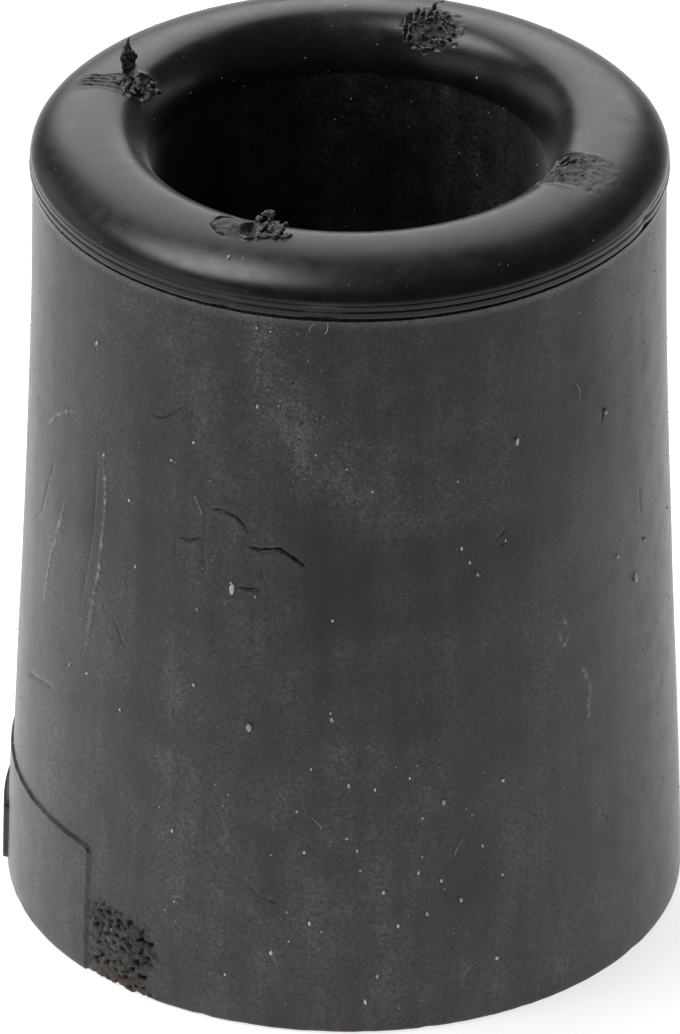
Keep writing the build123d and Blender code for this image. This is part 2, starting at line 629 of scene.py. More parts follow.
        # Painted reflection: the film is thinned between about -97 and -60 degrees, 28 to 33 mm up,
        # for the darker step of a reflected horizon
        square = smooth(-101, -97, angle) * smooth(-55, -60, angle)
        self.bloom_and_painted_light -= flank * 0.045 * square * smooth(33.4, 32.6, height) * smooth(24, 28, height)
        # Painted reflection: the film is thinned between about -50 and -37 degrees, from 35 mm up,
        # for a dark reflection of the surroundings
        dark = smooth(-50, -46, angle) * smooth(-37, -41, angle) * smooth(35, 38, height)
        self.bloom_and_painted_light -= flank * 0.06 * dark
        foot = smooth(2.4, 0.0, height) * (self.run > -0.3) * (self.run < OUTSIDE_RUN)
        patchy = np.clip(0.55 + 0.8 * patches, 0, 1)
        self.soil += 0.55 * foot * patchy
        low = bell(height - 9, 8.5) * bell(arc_gap(-84, angle), 26)
        clusters = np.maximum(noise_at(self.place, 1.7, 36.0), 0) * 2.2
        clear = smooth(0.35, 0.5, height)
        thick = 0.03 + 1.3 * band + 0.10 * np.maximum(clouds, 0)
        self.powder = clear * (flank * thick + 0.03 * lip)
        self.crumbs = clear * (flank * (0.08 + 0.5 * band + low) * (0.25 + clusters) + 0.07 * lip)
        start, end, bottom, top, _ = BAR
        on_bar = (np.abs(arc_gap((start + end) / 2, angle)) < (end - start) / 2) & upward
        on_bar &= (height > bottom) & (height < top)
        self.bloom_and_painted_light = np.where(on_bar, 0.1 * self.bloom_and_painted_light, self.bloom_and_painted_light)
        for name in ("bloom_and_painted_light", "soil", "powder", "crumbs"):
            setattr(self, name, np.clip(getattr(self, name), 0, 1))


# ---------------------------------------------------------------- gates

# What was left where the rubber was torn from its four feeds, a quarter turn apart. Sizes are in
# millimetres on the lip: across, anticlockwise along the ring, inward, towards the bore, and out.
# A scar is the middle and half size of the torn place, how deep it is and how high its rim. A
# strand is a run of (across, inward, out, radius).
GATES = [
    {
        "scar": ((-0.1, -0.4), (0.62, 0.72), 0.42, 0.14),
        "strands": [
            [
                (0.30, 0.0, -0.1, 0.18), (-0.1, 0.35, 0.15, 0.17), (-0.13, 0.5, 0.34, 0.16),
                (0.15, 0.5, 0.38, 0.12),
            ],
            [(0.45, 0.1, 0.0, 0.24), (0.72, 0.2, 0.35, 0.17), (0.73, 0.2, 0.75, 0.14)],
            [
                (0.25, 0.2, 0.80, 0.12), (0.50, 0.2, 0.92, 0.16), (0.80, 0.2, 0.98, 0.16),
                (0.86, 0.25, 0.84, 0.11),
            ],
            [(0.75, 0.0, 0.0, 0.31), (1.05, 0.15, 0.20, 0.26), (1.25, 0.2, 0.42, 0.16)],
            [(1.05, 0.0, 0.0, 0.17), (1.45, 0.0, 0.22, 0.13), (1.82, 0.0, 0.50, 0.13)],
            [(1.20, -0.3, -0.1, 0.17), (1.50, -0.3, 0.18, 0.12), (1.78, -0.3, 0.42, 0.11)],
            [
                (0.35, -0.7, -0.1, 0.20), (0.80, -0.8, 0.0, 0.19), (1.30, -0.6, -0.05, 0.19),
                (1.7, -0.5, -0.05, 0.14),
            ],
            [(0.10, -0.2, -0.1, 0.13), (0.45, -0.35, 0.1, 0.16), (0.60, -0.1, 0.3, 0.12)],
            [(1.7, -0.6, 0.0, 0.14), (2.05, -0.5, 0.05, 0.14), (2.2, -0.3, 0.0, 0.11)],
        ],
        "crumbs": (16, (1.0, -0.3), (1.1, 0.6), 0.10),
    },
    {
        "scar": ((-0.7, -0.6), (1.95, 2.4), 0.08, 0.05),
        "strands": [
            [(1.15, 0.95, -0.12, 0.10), (0.75, 1.25, -0.05, 0.10), (0.25, 1.55, -0.12, 0.10)],
            [(0.75, 0.35, -0.14, 0.09), (0.45, 0.75, -0.08, 0.09), (0.0, 1.0, -0.13, 0.09)],
        ],
        "crumbs": (14, (-0.6, 0.3), (1.4, 1.2), 0.08),
    },
    {
        "scar": ((0.2, 1.1), (1.9, 1.7), 0.24, 0.0),
        "strands": [
            [
                (0.62, -0.45, -0.1, 0.11), (0.62, -0.5, 0.15, 0.10), (0.48, -0.5, 0.38, 0.08),
                (0.28, -0.5, 0.52, 0.08), (0.05, -0.5, 0.56, 0.07),
            ],
            [(1.45, -0.1, 0.0, 0.07), (1.40, 0.5, 0.12, 0.08), (1.30, 1.1, 0.0, 0.07)],
            [(1.10, -0.2, 0.0, 0.07), (1.05, 0.4, 0.16, 0.08), (1.00, 1.2, 0.02, 0.07)],
            [(0.70, -0.3, 0.0, 0.08), (0.72, 0.3, 0.18, 0.08), (0.60, 0.9, 0.02, 0.07)],
            [(0.30, -0.2, 0.0, 0.07), (0.30, 0.3, 0.16, 0.08), (0.10, 0.8, 0.0, 0.07)],
            [(1.85, 0.9, -0.02, 0.07), (1.75, 1.5, 0.1, 0.08), (1.60, 2.2, -0.02, 0.06)],
            [(1.45, 1.3, -0.02, 0.07), (1.35, 1.9, 0.1, 0.08), (1.25, 2.5, -0.02, 0.06)],
            [(-0.20, 0.4, 0.02, 0.08), (-0.60, 0.7, 0.16, 0.08), (-1.10, 0.8, 0.02, 0.07)],
            [(-0.20, 1.0, 0.0, 0.07), (-0.65, 1.2, 0.14, 0.08), (-1.05, 1.6, 0.0, 0.06)],
            [(0.75, 2.4, 0.0, 0.08), (0.25, 2.6, 0.14, 0.09), (-0.35, 2.5, 0.02, 0.08)],
            [(0.10, 2.2, 0.0, 0.07), (-0.40, 2.0, 0.12, 0.08), (-0.90, 2.2, 0.0, 0.07)],
            [(0.90, 1.5, 0.0, 0.08), (0.50, 1.8, 0.14, 0.08), (0.20, 1.6, 0.02, 0.07)],
        ],
        "crumbs": (26, (0.2, 1.2), (1.5, 1.4), 0.10),
    },
    {
        "scar": ((0.5, 1.2), (1.15, 0.75), 0.30, 0.06),
        "strands": [
            [
                (-0.66, -0.2, -0.1, 0.22), (-0.45, -0.2, 0.45, 0.19), (-0.15, -0.2, 0.95, 0.14),
                (-0.45, -0.2, 1.30, 0.13), (-1.00, -0.2, 1.62, 0.08), (-1.20, -0.2, 1.82, 0.06),
            ],
            [
                (-0.75, -0.2, 0.1, 0.20), (-0.75, -0.15, 0.60, 0.20), (-0.70, -0.15, 1.00, 0.19),
                (-1.00, -0.2, 1.30, 0.14), (-1.12, -0.2, 1.55, 0.08),
            ],
            [(-1.30, -0.2, 0.0, 0.18), (-1.30, -0.2, 0.35, 0.16), (-1.1, -0.2, 0.6, 0.12)],
            [
                (-0.90, -0.1, 0.0, 0.16), (-1.55, -0.2, 0.0, 0.17), (-1.75, -0.2, 0.30, 0.16),
                (-1.45, -0.2, 0.70, 0.16), (-1.05, -0.2, 0.80, 0.15),
            ],
            [(-0.5, 0.5, 0.0, 0.16), (0.0, 0.8, 0.12, 0.20), (0.4, 1.1, 0.05, 0.18)],
            [
                (-0.05, 1.55, 0.0, 0.11), (-0.45, 1.65, 0.12, 0.12), (-0.45, 2.1, 0.12, 0.11),
                (0.0, 2.1, 0.08, 0.11), (-0.05, 1.6, 0.05, 0.10),
            ],
            [(-0.35, 2.1, 0.0, 0.12), (-0.7, 2.35, 0.0, 0.11)],
            [(0.9, 0.5, 0.02, 0.14), (1.5, 0.55, 0.05, 0.14), (2.05, 0.65, 0.0, 0.11)],
            [(0.7, 1.3, 0.0, 0.14), (1.1, 1.0, 0.08, 0.15), (1.5, 0.95, 0.0, 0.12)],
            [(0.25, 0.0, -0.02, 0.11), (0.6, 0.2, 0.03, 0.13), (1.1, 0.0, 0.0, 0.12)],
        ],
        "crumbs": (20, (0.5, 1.1), (1.2, 0.8), 0.12),
    },
]
FRONT_GATE, RIGHT_GATE, BACK_GATE, LEFT_GATE = range(4)

# Middle of the torn flap beside the front gate: across and inward, in mm
FLAP = (-1.35, -0.40)

# Grooves beside the left gate: where each starts across, its lean and its depth
PULLED = ((0.25, 0.10, 0.13), (0.75, 0.02, 0.16), (1.25, -0.04, 0.13), (1.75, -0.08, 0.08))


def gate_angle(index):
    """Angle of a gate, in degrees."""
    return math.degrees(bpy.context.scene.buffer_gates.first_angle) + 90.0 * index


def beside_gate(skin, index):
    """Millimetres across and inward from a gate, at each place of a skin."""
    return skin.along(gate_angle(index)), skin.run - skin.crest


def scar_gap(index, across, inward, grow=0.0):
    """Signed distance from the edge of a gate's torn place."""
    middle, half, _, _ = GATES[index]["scar"]
    x, y = across - middle[0], inward - middle[1]
    wide, deep = half[0] + grow, half[1] + grow
    if index == RIGHT_GATE:
        return box_distance(x, y, wide, 0.0, deep, 0.25)
    return (np.hypot(x / wide, y / deep) - 1) * min(wide, deep)


def scar_gates(skin):
    """Sink and roughen the skin where each gate was torn off."""
    for index, gate in enumerate(GATES):
        across, inward = beside_gate(skin, index)
        places = np.flatnonzero((np.abs(across) < 5) & (np.abs(inward) < 5))
        points = skin.place[places]
        _, _, depth, rim = gate["scar"]
        gap = scar_gap(index, across[places], inward[places])
        gap += 0.18 * noise_at(points, 0.8, 40.0 + index) + 0.10 * noise_at(points, 0.3, 50.0)
        inside = smooth(0.06, -0.22, gap)
        if index == RIGHT_GATE:
            # Crisp towards the bore, and fading out into sound rubber on the outer side
            inner = smooth(-1.6, 0.3, inward[places])
            inside *= 0.25 + 0.75 * inner
            inside *= smooth(-3.0, -1.4, inward[places] + 0.5 * noise_at(points, 0.7, 55.0))
            pocket = np.exp(-((across[places] - 0.45) ** 2 + (inward[places] - 0.95) ** 2) / 0.3)
            skin.relief[places] -= 0.30 * pocket * inside * (1 + noise_at(points, 0.25, 56.0))
            rim *= inner
        elif index == BACK_GATE:
            fray = gap + 0.55 * noise_at(points, 0.7, 57.0) + 0.3 * noise_at(points, 0.3, 58.0)
            inside = smooth(0.1, -0.8, fray)
        lumps = noise_at(points, 0.45, 60.0) + 0.6 * noise_at(points, 0.2, 61.0)
        pits = np.maximum(noise_at(points, 0.35, 62.0 + index), 0) ** 1.3
        skin.relief[places] += inside * (0.12 * lumps - depth * (0.5 + pits))
        skin.relief[places] += rim * bell(gap - 0.15, 0.11)
        skin.torn[places] = np.maximum(skin.torn[places], 0.6 * inside)
        skin.bloom_and_painted_light[places] += 0.16 * inside * np.maximum(0.3 + lumps, 0)


def lift_flap(skin):
    """Shallow skin flap torn up beside the front gate, with a crease round it."""
    across, inward = beside_gate(skin, FRONT_GATE)
    places = np.flatnonzero((np.abs(across + 1.0) < 3) & (np.abs(inward) < 3))
    x, y = across[places] - FLAP[0], inward[places] - FLAP[1]
    points = skin.place[places]
    gap = np.hypot(x / 1.2, y / 0.95) - 1 + 0.22 * noise_at(points, 0.6, 70.0)
    skin.relief[places] += 0.09 * smooth(0.05, -0.5, gap) * (1 + noise_at(points, 0.5, 72.0))
    crease = bell(gap - 0.08, 0.06) * smooth(0.2, -0.5, x)
    uneven = 0.4 + np.maximum(1 + 1.5 * noise_at(points, 0.5, 73.0), 0)
    skin.relief[places] -= 0.13 * crease * uneven
    skin.torn[places] = np.maximum(skin.torn[places], 0.3 * smooth(0.1, -0.2, gap))


def pull_grooves(skin):
    """Grooves drawn over the lip beside the left gate, where the feed was pulled off sideways."""
    across, inward = beside_gate(skin, LEFT_GATE)
    places = np.flatnonzero((np.abs(across - 1) < 3) & (inward > -4) & (inward < 1.5))
    x, y = across[places], inward[places]
    points = skin.place[places]
    wander = 0.16 * noise_at(points, 0.9, 75.0) + 0.07 * noise_at(points, 0.3, 76.0)
    reach = smooth(-3.4, -1.6, y) * smooth(1.2, 0.4, y)
    for start, lean, depth in PULLED:
        off = x + wander - start + lean * (y + 0.5)
        skin.relief[places] -= depth * reach * bell(off, 0.09)
        skin.relief[places] += 0.05 * reach * bell(off - 0.22, 0.12)


def stub_mesh(index, section, settings):
    """One torn stub: strands and crumbs joined into one lump, with a ragged surface."""
    gate = GATES[index]
    random = np.random.default_rng(settings.seed + index)
    balls = []
    for strand in gate["strands"]:
        strand = np.array(strand)
        for near, far in zip(strand, strand[1:]):
            steps = max(2, math.ceil(math.dist(near[:3], far[:3]) / (0.35 * min(near[3], far[3]))))
            balls += [near + (far - near) * i / steps for i in range(steps + 1)]
    count, middle, half, size = gate["crumbs"]
    for _ in range(count):
        turn, reach = random.uniform(0, math.tau), math.sqrt(random.uniform())
        across = middle[0] + half[0] * reach * math.cos(turn)
        inward = middle[1] + half[1] * reach * math.sin(turn)
        out = random.uniform(-0.1, 0.2)
        balls.append(np.array([across, inward, out, size * random.uniform(0.6, 1.3)]))
    lump = bmesh.new()
    for across, inward, out, radius in balls:
        place = section.point(gate_angle(index), across, section.crest + inward, out)
        bmesh.ops.create_icosphere(
            lump, subdivisions=2, radius=radius, matrix=Matrix.Translation(place)
        )
    maker = link_object("stub_maker", mesh_from("stub", lump))
    remesh = maker.modifiers.new("fuse", "REMESH")
    remesh.mode = "VOXEL"
    remesh.voxel_size = settings.voxel / MM
    fused = applied(maker)
    points = points_of(fused)
    normals = np.zeros(len(points) * 3)
    fused.vertices.foreach_get("normal", normals)
    ragged = settings.ragged / MM
    swell = noise_at(points, 0.34, 80.0) + 0.6 * noise_at(points, 0.15, 81.0)
    points = points + normals.reshape(-1, 3) * (ragged * swell)[:, None]
    fused.vertices.foreach_set("co", (points * MM).ravel())
    return fused


# ---------------------------------------------------------------- the skin's mesh


# How near a mark, in mm, a face is split in each round, and what is added at the torn places
REFINE_REACH = (0.75, 0.32, 0.14)
COARSER = 0.2


def mark_distance(section, angle, run):
    """Distance from the nearest mark that needs finer faces, in millimetres."""
    skin = Skin(section, angle, run)
    best = np.full(len(angle), 1e9)
    for points, _, _ in COLD_SHUTS + FLOW_MARKS + SCRATCHES:
        places, gap, _, _ = skin.line(points)
        best[places] = np.minimum(best[places], gap)
    for band in (PANEL, BAR):
        gap = np.abs(band_gap(angle, skin.height, band))
        best = np.where(skin.on_flank, np.minimum(best, gap), best)
    start, end = COARSE_PATCH_ANGLES
    half = math.radians(end - start) / 2 * BASE_RADIUS
    gap = box_distance(skin.along((start + end) / 2), skin.height, half, 2.0, 3.4, 0.5)
    outside = (run > -0.6) & (run < OUTSIDE_RUN)
    best = np.where(outside, np.minimum(best, np.maximum(gap, 0) + 0.12), best)
    # The torn places take only the first two rounds of refining
    for index in range(len(GATES)):
        across, inward = beside_gate(skin, index)
        gap = np.maximum(scar_gap(index, across, inward, 0.25), 0) + COARSER
        best = np.where(np.abs(inward) < 4, np.minimum(best, gap), best)
    across, inward = beside_gate(skin, FRONT_GATE)
    flap = np.hypot(across - FLAP[0], inward - FLAP[1]) - 1.3
    best = np.minimum(best, np.maximum(flap, 0) + COARSER)
    across, inward = beside_gate(skin, LEFT_GATE)
    pulled = box_distance(across - 1.0, inward, 1.2, -1.2, 2.2, 0.3)
    return np.minimum(best, np.maximum(pulled, 0) + COARSER)


def skin_sheet(section, columns):
    """Flat sheet of the whole skin, finer near the marks: across is the angle, up is the run."""
    angles = np.linspace(-270, 90, columns + 1)
    sheet = bmesh.new()
    grid = [[sheet.verts.new((a, s, 0)) for s in section.run] for a in angles]
    for near, far in zip(grid, grid[1:]):
        for i in range(len(section.run) - 1):
            sheet.faces.new((near[i], far[i], far[i + 1], near[i + 1]))
    for reach in REFINE_REACH:
        sheet.faces.ensure_lookup_table()
        centres = np.array([face.calc_center_median()[:2] for face in sheet.faces])
        chosen = np.flatnonzero(mark_distance(section, centres[:, 0], centres[:, 1]) < reach)
        edges = {edge: None for index in chosen for edge in sheet.faces[index].edges}
        bmesh.ops.subdivide_edges(sheet, edges=list(edges), cuts=1, use_grid_fill=True)
    return sheet


def dressed_sheet(section, columns):
    """Sheet mesh that carries, at each vertex, its place on the section, relief and finish."""
    mesh = mesh_from("skin_sheet", skin_sheet(section, columns))
    flat = points_of(mesh)
    skin = Skin(section, flat[:, 0], flat[:, 1])
    skin.raise_band(PANEL, wander=0.07)
    skin.raise_band(BAR)
    for mark in COLD_SHUTS:
        skin.cut_line(mark, step=0.05)
    for mark in FLOW_MARKS + SCRATCHES:
        skin.cut_line(mark)
    skin.coarsen_patch()
    skin.fray_base()
    skin.fray_flash()
    scar_gates(skin)
    lift_flap(skin)
    pull_grooves(skin)
    skin.tint()
    kept = {
        "turned": np.radians(skin.angle),
        "radius": skin.radius * MM,
        "height": skin.height * MM,
        "lean": skin.lean,
        "rise": skin.rise,
        "relief": skin.relief * MM,
        "torn": skin.torn,
        "bloom_and_painted_light": skin.bloom_and_painted_light,
        "soil": skin.soil,
        "gloss": skin.gloss,
        "dusty": (skin.run > -0.3) & (skin.height < DUST_TOP) & (skin.lean > 0),
        "powder": skin.powder,
        "crumbs": skin.crumbs,
    }
    for name, values in kept.items():
        attribute = mesh.attributes.new(name, "FLOAT", "POINT")
        attribute.data.foreach_set("value", np.ascontiguousarray(values, np.float32))
    return mesh


# ---------------------------------------------------------------- Geometry Nodes


def new_tree(name, inputs):
    """Node tree with a geometry in and out, and named inputs given as {name: (kind, default)}."""
    tree = bpy.data.node_groups.new(name, "GeometryNodeTree")
    tree.interface.new_socket("Geometry", in_out="INPUT", socket_type="NodeSocketGeometry")
    tree.interface.new_socket("Geometry", in_out="OUTPUT", socket_type="NodeSocketGeometry")
    for label, (kind, default) in inputs.items():
        socket = tree.interface.new_socket(label, in_out="INPUT", socket_type="NodeSocket" + kind)
        if default is not None:
            socket.default_value = default
    return tree, add_node(tree, "NodeGroupInput").outputs


def end_tree(tree, geometry, material, other=None, mask=None):
    """Realize instances, set the material, another one where a mask is low, and put it all out."""
    real = add_node(tree, "GeometryNodeRealizeInstances", i0=geometry)
    final = add_node(tree, "GeometryNodeSetMaterial", Geometry=real, Material=material)
    if other:
        low = add_node(tree, "FunctionNodeCompare", {"operation": "LESS_THAN"}, i0=mask, i1=0.5)
        final = add_node(
            tree, "GeometryNodeSetMaterial", Geometry=final, Selection=low, Material=other
        )
    add_node(tree, "NodeGroupOutput", i0=final)


def grown(name, tree, mesh, values):
    """Plain object with the mesh that a tree makes from another, its named inputs set."""
    maker = link_object(name + "_maker", mesh)
    modifier = maker.modifiers.new("grow", "NODES")
    modifier.node_group = tree
    for item in tree.interface.items_tree:
        if item.in_out == "INPUT" and item.name in values:
            modifier[item.identifier] = values[item.name]
    made = applied(maker)
    made.name = name
    return link_object(name, made)


def turning_tree():
    """Tree that turns the flat sheet about the axis and gives it slow waves and pebbling."""
    tree, given = new_tree(
        "turned_moulding",
        {
            "Unevenness": ("Float", 0.00006),
            "Wave size": ("Float", 0.009),
            "Grain depth": ("Float", 0.00001),
            "Grain size": ("Float", 0.001),
            "Seed": ("Float", 0.0),
            "Rubber": ("Material", None),
            "Polished": ("Material", None),
        },
    )
    carried = {
        name: add_node(
            tree, "GeometryNodeInputNamedAttribute", {"data_type": "FLOAT"}, Name=name
        ).outputs[0]
        for name in ("turned", "radius", "height", "lean", "rise", "relief", "gloss", "dusty")
    }
    cosine, sine = (
        add_node(tree, "ShaderNodeMath", {"operation": kind}, i0=carried["turned"])
        for kind in ("COSINE", "SINE")
    )
    outward = add_node(tree, "ShaderNodeCombineXYZ", X=cosine, Y=sine)
    level = add_node(tree, "ShaderNodeCombineXYZ", Z=carried["height"])
    place = add_node(
        tree, "ShaderNodeVectorMath", {"operation": "MULTIPLY_ADD"},
        i0=outward, i1=carried["radius"], i2=level,
    )
    swells = []
    for size, depth in (("Wave size", "Unevenness"), ("Grain size", "Grain depth")):
        scale = add_node(tree, "ShaderNodeMath", {"operation": "DIVIDE"}, i0=1.0, i1=given[size])
        wave = add_node(
            tree, "ShaderNodeTexNoise", {"noise_dimensions": "4D"},
            Vector=place, W=given["Seed"], Scale=scale, Detail=2.0,
        )
        centred = add_node(tree, "ShaderNodeMath", {"operation": "SUBTRACT"}, i0=wave, i1=0.5)
        swells.append(
            add_node(
                tree, "ShaderNodeMath", {"operation": "MULTIPLY"}, i0=centred, i1=given[depth]
            )
        )
    # The foot stays flat, and the polished lip has no pebbling
    foot = add_node(
        tree, "ShaderNodeMath", {"operation": "MULTIPLY", "use_clamp": True},
        i0=carried["height"], i1=1000.0,
    )
    blasted = add_node(
        tree, "ShaderNodeMath", {"operation": "SUBTRACT"}, i0=1.0, i1=carried["gloss"]
    )
    slow, fine = swells
    pebbling = add_node(
        tree, "ShaderNodeMath", {"operation": "MULTIPLY_ADD"}, i0=fine, i1=blasted, i2=slow
    )
    total = add_node(
        tree, "ShaderNodeMath", {"operation": "MULTIPLY_ADD"},
        i0=pebbling, i1=foot, i2=carried["relief"],
    )
    away = add_node(
        tree, "ShaderNodeVectorMath", {"operation": "SCALE"}, i0=outward, Scale=carried["lean"]
    )
    upright = add_node(tree, "ShaderNodeCombineXYZ", Z=carried["rise"])
    normal = add_node(tree, "ShaderNodeVectorMath", {"operation": "ADD"}, i0=away, i1=upright)
    moved = add_node(
        tree, "ShaderNodeVectorMath", {"operation": "MULTIPLY_ADD"}, i0=normal, i1=total, i2=place
    )
    on_floor = add_node(
        tree, "ShaderNodeVectorMath", {"operation": "MAXIMUM"}, i0=moved, i1=(-1.0, -1.0, 0.0)
    )
    turned = add_node(
        tree, "GeometryNodeSetPosition", Geometry=given["Geometry"], Position=on_floor
    )
    closed = add_node(tree, "GeometryNodeMergeByDistance", Geometry=turned, Distance=2e-7)
    shaded = add_node(tree, "GeometryNodeSetShadeSmooth", Geometry=closed)
    end_tree(tree, shaded, given["Rubber"], given["Polished"], carried["dusty"])
    return tree


def strewing_tree():
    """Tree that strews small grains over a surface, thick where a mask on it is high."""
    tree, given = new_tree(
        "strewn_dust",
        {
            "Grain": ("Object", None),
            "Mask": ("String", "powder"),
            "Density": ("Float", 100000.0),
            "Smallest": ("Float", 0.00001),
            "Largest": ("Float", 0.00005),
            "Seed": ("Int", 0),
            "Dust": ("Material", None),
        },
    )
    mask = add_node(
        tree, "GeometryNodeInputNamedAttribute", {"data_type": "FLOAT"}, Name=given["Mask"]
    )
    density = add_node(
        tree, "ShaderNodeMath", {"operation": "MULTIPLY"}, i0=mask, i1=given["Density"]
    )
    spread = add_node(
        tree, "GeometryNodeDistributePointsOnFaces",
        Mesh=given["Geometry"], Density=density, Seed=given["Seed"],
    )
    turn = add_node(
        tree, "FunctionNodeRandomValue", {"data_type": "FLOAT_VECTOR"},
        i1=(math.tau, math.tau, math.tau), Seed=given["Seed"],
    )
    chance = add_node(tree, "FunctionNodeRandomValue", Seed=given["Seed"]).outputs[1]
    # Most grains are small: the cube of an even chance
    rare = add_node(tree, "ShaderNodeMath", {"operation": "POWER"}, i0=chance, i1=3.0)
    size = add_node(tree, "ShaderNodeMapRange", i0=rare, i3=given["Smallest"], i4=given["Largest"])
    shape = add_node(tree, "GeometryNodeObjectInfo", Object=given["Grain"]).outputs["Geometry"]
    strewn = add_node(
        tree, "GeometryNodeInstanceOnPoints",
        Points=spread, Instance=shape, Rotation=turn, Scale=size,
    )
    end_tree(tree, strewn, given["Dust"])
    return tree


# ---------------------------------------------------------------- dust

# The grains that stand out: angle, run up the skin, size, and how drawn out, in mm
SPECKS = [
    (-107.0, 20.0, 0.23, 1.3), (-110.5, 28.9, 0.22, 1.7), (-92.5, 27.5, 0.12, 1.2),
    (-92.5, 21.0, 0.14, 1.3), (-121.0, 12.0, 0.12, 1.2), (-117.5, 22.0, 0.11, 1.0),
    (-106.3, 41.0, 0.12, 1.2), (-118.5, 37.8, 0.11, 1.0), (-123.0, 36.2, 0.09, 1.0),
    (-133.0, 18.6, 0.09, 1.3), (-102.5, 5.3, 0.14, 1.2), (-96.0, 7.5, 0.11, 1.6),
    (-96.0, 17.7, 0.09, 1.4), (-97.0, 12.2, 0.11, 1.2), (-106.5, 46.1, 0.11, 1.0),
    (-104.0, 46.0, 0.09, 1.0), (-106.3, 28.6, 0.08, 2.4), (-117.2, 27.0, 0.09, 1.2),
    (-130.5, 28.4, 0.09, 1.5), (-132.3, 32.5, 0.08, 1.4), (-73.0, 15.2, 0.18, 1.1),
    (-89.5, 16.7, 0.11, 1.8), (-77.5, 10.7, 0.12, 1.2), (-83.5, 9.6, 0.12, 1.2),
    (-73.5, 10.0, 0.12, 1.3), (-70.0, 8.5, 0.15, 1.2), (-76.0, 7.9, 0.12, 1.2),
    (-81.0, 7.3, 0.12, 1.2), (-86.5, 2.3, 0.14, 1.4), (-84.5, 4.0, 0.11, 1.2),
    (-63.5, 4.1, 0.14, 1.2), (-147.0, 19.5, 0.09, 1.2), (-139.0, 34.6, 0.09, 1.4),
    (-69.5, 31.6, 0.11, 1.4), (-68.0, 30.6, 0.11, 1.3), (-66.5, 29.7, 0.12, 1.3),
    (-61.0, 31.5, 0.09, 1.3), (-58.5, 37.7, 0.12, 3.6), (-62.0, 15.8, 0.12, 1.2),
    (-28.0, 24.8, 0.15, 2.8), (-24.0, 26.6, 0.12, 2.2), (-34.0, 27.1, 0.11, 1.4),
    (-37.0, 37.1, 0.12, 2.0), (-141.5, 41.6, 0.11, 1.8), (-113.8, 50.9, 0.14, 1.3),
    (-94.0, 7.0, 0.09, 1.4), (-99.5, 6.2, 0.08, 1.2), (-88.0, 12.4, 0.09, 1.8),
    (-79.0, 17.0, 0.08, 1.6), (-85.0, 16.4, 0.08, 1.8), (-66.0, 11.8, 0.09, 1.4),
]

# Fibres of lint: angle and run where each starts and ends, its bow, and its radius in mm
FIBRES = [
    ((-94.3, 46.1), (-93.8, 47.0), 0.10, 0.020),
    ((-97.0, 46.2), (-96.0, 46.9), -0.10, 0.014),
    ((-96.5, 14.6), (-94.2, 13.8), 0.25, 0.014),
    ((-71.0, 11.5), (-69.2, 12.6), -0.2, 0.014),
    ((-118.2, 34.2), (-116.8, 33.2), 0.2, 0.012),
    ((-45.5, 40.2), (-44.6, 38.8), 0.2, 0.012),
]


def grain_mesh(name, seed, rough):
    """Small angular grain of unit radius, in a few faces."""
    grain = bmesh.new()
    bmesh.ops.create_icosphere(grain, subdivisions=1, radius=1.0)
    for vertex in grain.verts:
        vertex.co *= 1 + rough * noise.noise(vertex.co * 1.7 + Vector((seed, 0, 0)))
    return mesh_from(name, grain)


def placed_dust(section, seed):
    """The specks and fibres that stand out, as one mesh."""
    random = np.random.default_rng(seed)
    dust = bmesh.new()
    for angle, run, size, drawn in SPECKS:
        centre = section.point(angle, 0, run, 0.25 * size)
        turn = Matrix.Rotation(random.uniform(0, math.tau), 4, "Z")
        tilt = Matrix.Rotation(random.uniform(-0.5, 0.5), 4, "Y")
        shape = Matrix.Diagonal((size * 0.8, size * 0.7, size * 0.8 * drawn, 1.0))
        facing = Matrix.Rotation(math.radians(angle), 4, "Z")
        made = bmesh.ops.create_icosphere(dust, subdivisions=2, radius=1.0)["verts"]
        for vertex in made:
            bump = 1 + 0.45 * noise.noise(vertex.co * 1.6 + Vector((angle, run, 0)))
            vertex.co = (facing @ tilt @ shape @ turn @ (vertex.co * bump)) + centre
    sides, steps = 5, 12
    spokes = [side * math.tau / sides for side in range(sides)]
    for (angle, run), (far_angle, far_run), bow, radius in FIBRES:
        rings = []
        for i in range(steps + 1):
            t = i / steps
            middle = 4 * t * (1 - t)
            place = section.point(
                angle + (far_angle - angle) * t, bow * middle,
                run + (far_run - run) * t, radius * 0.9 + 0.12 * middle,
            )
            thin = radius * (0.35 + 0.65 * middle**0.3)
            outward = Vector((place.x, place.y, 0)).normalized()
            side = Vector((-outward.y, outward.x, 0))
            rings.append(
                [
                    dust.verts.new(place + thin * (math.cos(a) * outward + math.sin(a) * side))
                    for a in spokes
                ]
            )
        for near, far in zip(rings, rings[1:]):
            for i in range(sides):
                dust.faces.new((near[i - 1], near[i], far[i], far[i - 1]))
        dust.faces.new(rings[0])
        dust.faces.new(rings[-1][::-1])
    bmesh.ops.recalc_face_normals(dust, faces=dust.faces)
    bmesh.ops.scale(dust, vec=(MM, MM, MM), verts=dust.verts)
    mesh = mesh_from("settled_dust", dust)
    mesh.shade_smooth()
    return mesh


# ---------------------------------------------------------------- materials


def new_material(name):
    """Empty node material, its tree, and the place on the object that patterns follow."""
    material = bpy.data.materials.new(name)
    material.use_nodes = True
    tree = material.node_tree
    tree.nodes.clear()
    return material, tree, add_node(tree, "ShaderNodeTexCoord").outputs["Object"]


